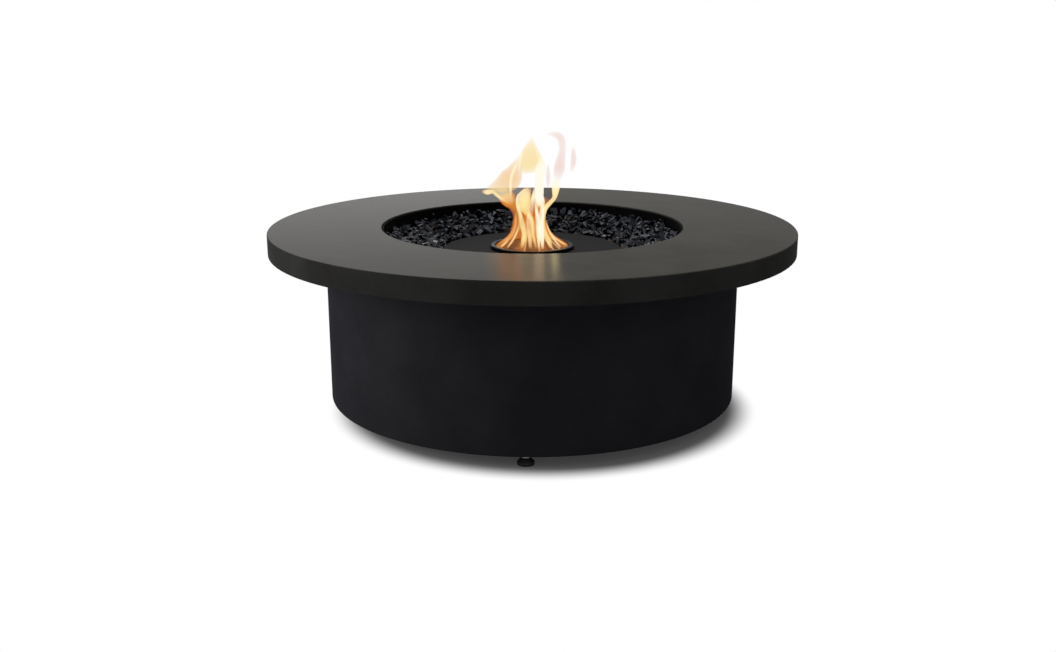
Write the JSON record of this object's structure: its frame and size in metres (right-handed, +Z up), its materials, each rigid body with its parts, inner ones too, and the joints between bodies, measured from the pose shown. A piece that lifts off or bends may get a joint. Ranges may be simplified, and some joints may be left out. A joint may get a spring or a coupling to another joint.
{
  "type": "ethanol fire pit table",
  "caption": "Low round concrete fire pit table: wide slab with a sunk tray of black fire glass round a lift-out ethanol burner, on a drum base with screw feet.",
  "frame": {"origin": "on the floor, under the middle of the table", "axes": "+Z up, -Y towards the foot that the picture shows, +X to the right in the picture"},
  "size_m": [1.2628, 1.263, 0.437],
  "materials": {
    "concrete_top": "fine cast fibre concrete, graphite grey, sealed to a low sheen",
    "concrete_base": "fine cast fibre concrete, darker graphite, sealed to a low sheen",
    "black_steel": "heat resisting matt black coating",
    "grey_steel": "dark grey matt coating",
    "zinc_steel": "zinc plated steel",
    "stainless": "stainless sheet, heat toned",
    "brass": "plain turned brass",
    "rubber": "matt black rubber",
    "black_nylon": "moulded black nylon",
    "ceramic_fibre": "pressed ceramic fibre",
    "lava": "porous dark rock",
    "fire_glass": "broken black tempered glass, glossy"
  },
  "bodies": {
    "table": {"tabletop": "concrete_top", "tabletop_inserts": "brass", "tabletop_bolts": "zinc_steel", "tabletop_washers": "zinc_steel", "bedding_ring": "rubber", "base_drum": "concrete_base", "foot_inserts": "brass", "tray_hangers": "zinc_steel", "hanger_inserts": "brass", "hanger_bolts": "zinc_steel", "hanger_washers": "zinc_steel", "media_tray": "black_steel", "tray_studs": "zinc_steel", "tray_nuts": "zinc_steel", "plate_ring": "black_steel", "burner_well": "black_steel", "well_rivets": "zinc_steel", "lava_fill": "lava", "fire_glass": "fire_glass"},
    "plate": {"burner_plate": "grey_steel", "plate_lugs": "grey_steel"},
    "burner": {"burner_rim": "black_steel", "burner_can": "stainless", "fuel_cup": "stainless", "ceramic_wick": "ceramic_fibre", "flame_arrester": "stainless"},
    "foot_1": {"foot_pad_1": "black_nylon", "foot_sole_1": "rubber"},
    "screw_1": {"foot_stud_1": "zinc_steel"},
    "foot_2": {"foot_pad_2": "black_nylon", "foot_sole_2": "rubber"},
    "screw_2": {"foot_stud_2": "zinc_steel"},
    "foot_3": {"foot_pad_3": "black_nylon", "foot_sole_3": "rubber"},
    "screw_3": {"foot_stud_3": "zinc_steel"},
    "foot_4": {"foot_pad_4": "black_nylon", "foot_sole_4": "rubber"},
    "screw_4": {"foot_stud_4": "zinc_steel"}
  },
  "joints": [
    {"name": "plate_lift", "type": "slide", "parent": "table", "child": "plate", "axis": [0, 0, 1], "range_m": [0, 0.2]},
    {"name": "burner_lift", "type": "slide", "parent": "plate", "child": "burner", "axis": [0, 0, 1], "range_m": [0, 0.2]},
    {"name": "foot_height_1", "type": "slide", "parent": "table", "child": "foot_1", "axis": [0, 0, -1], "range_m": [-0.0045, 0.012]},
    {"name": "foot_turn_1", "type": "hinge", "parent": "foot_1", "child": "screw_1", "pos_m": [0, -0.4665, 0.00984], "axis": [0, 0, -1], "range_deg": [-1080, 2880]},
    {"name": "foot_height_2", "type": "slide", "parent": "table", "child": "foot_2", "axis": [0, 0, -1], "range_m": [-0.0045, 0.012]},
    {"name": "foot_turn_2", "type": "hinge", "parent": "foot_2", "child": "screw_2", "pos_m": [0.4665, 0, 0.00984], "axis": [0, 0, -1], "range_deg": [-1080, 2880]},
    {"name": "foot_height_3", "type": "slide", "parent": "table", "child": "foot_3", "axis": [0, 0, -1], "range_m": [-0.0045, 0.012]},
    {"name": "foot_turn_3", "type": "hinge", "parent": "foot_3", "child": "screw_3", "pos_m": [0, 0.4665, 0.00984], "axis": [0, 0, -1], "range_deg": [-1080, 2880]},
    {"name": "foot_height_4", "type": "slide", "parent": "table", "child": "foot_4", "axis": [0, 0, -1], "range_m": [-0.0045, 0.012]},
    {"name": "foot_turn_4", "type": "hinge", "parent": "foot_4", "child": "screw_4", "pos_m": [-0.4665, 0, 0.00984], "axis": [0, 0, -1], "range_deg": [-1080, 2880]}
  ],
  "couplings": [
    {"joint": "foot_turn_1", "follows": "foot_height_1", "rad_per_m": 4188.8},
    {"joint": "foot_turn_2", "follows": "foot_height_2", "rad_per_m": 4188.8},
    {"joint": "foot_turn_3", "follows": "foot_height_3", "rad_per_m": 4188.8},
    {"joint": "foot_turn_4", "follows": "foot_height_4", "rad_per_m": 4188.8}
  ]
}
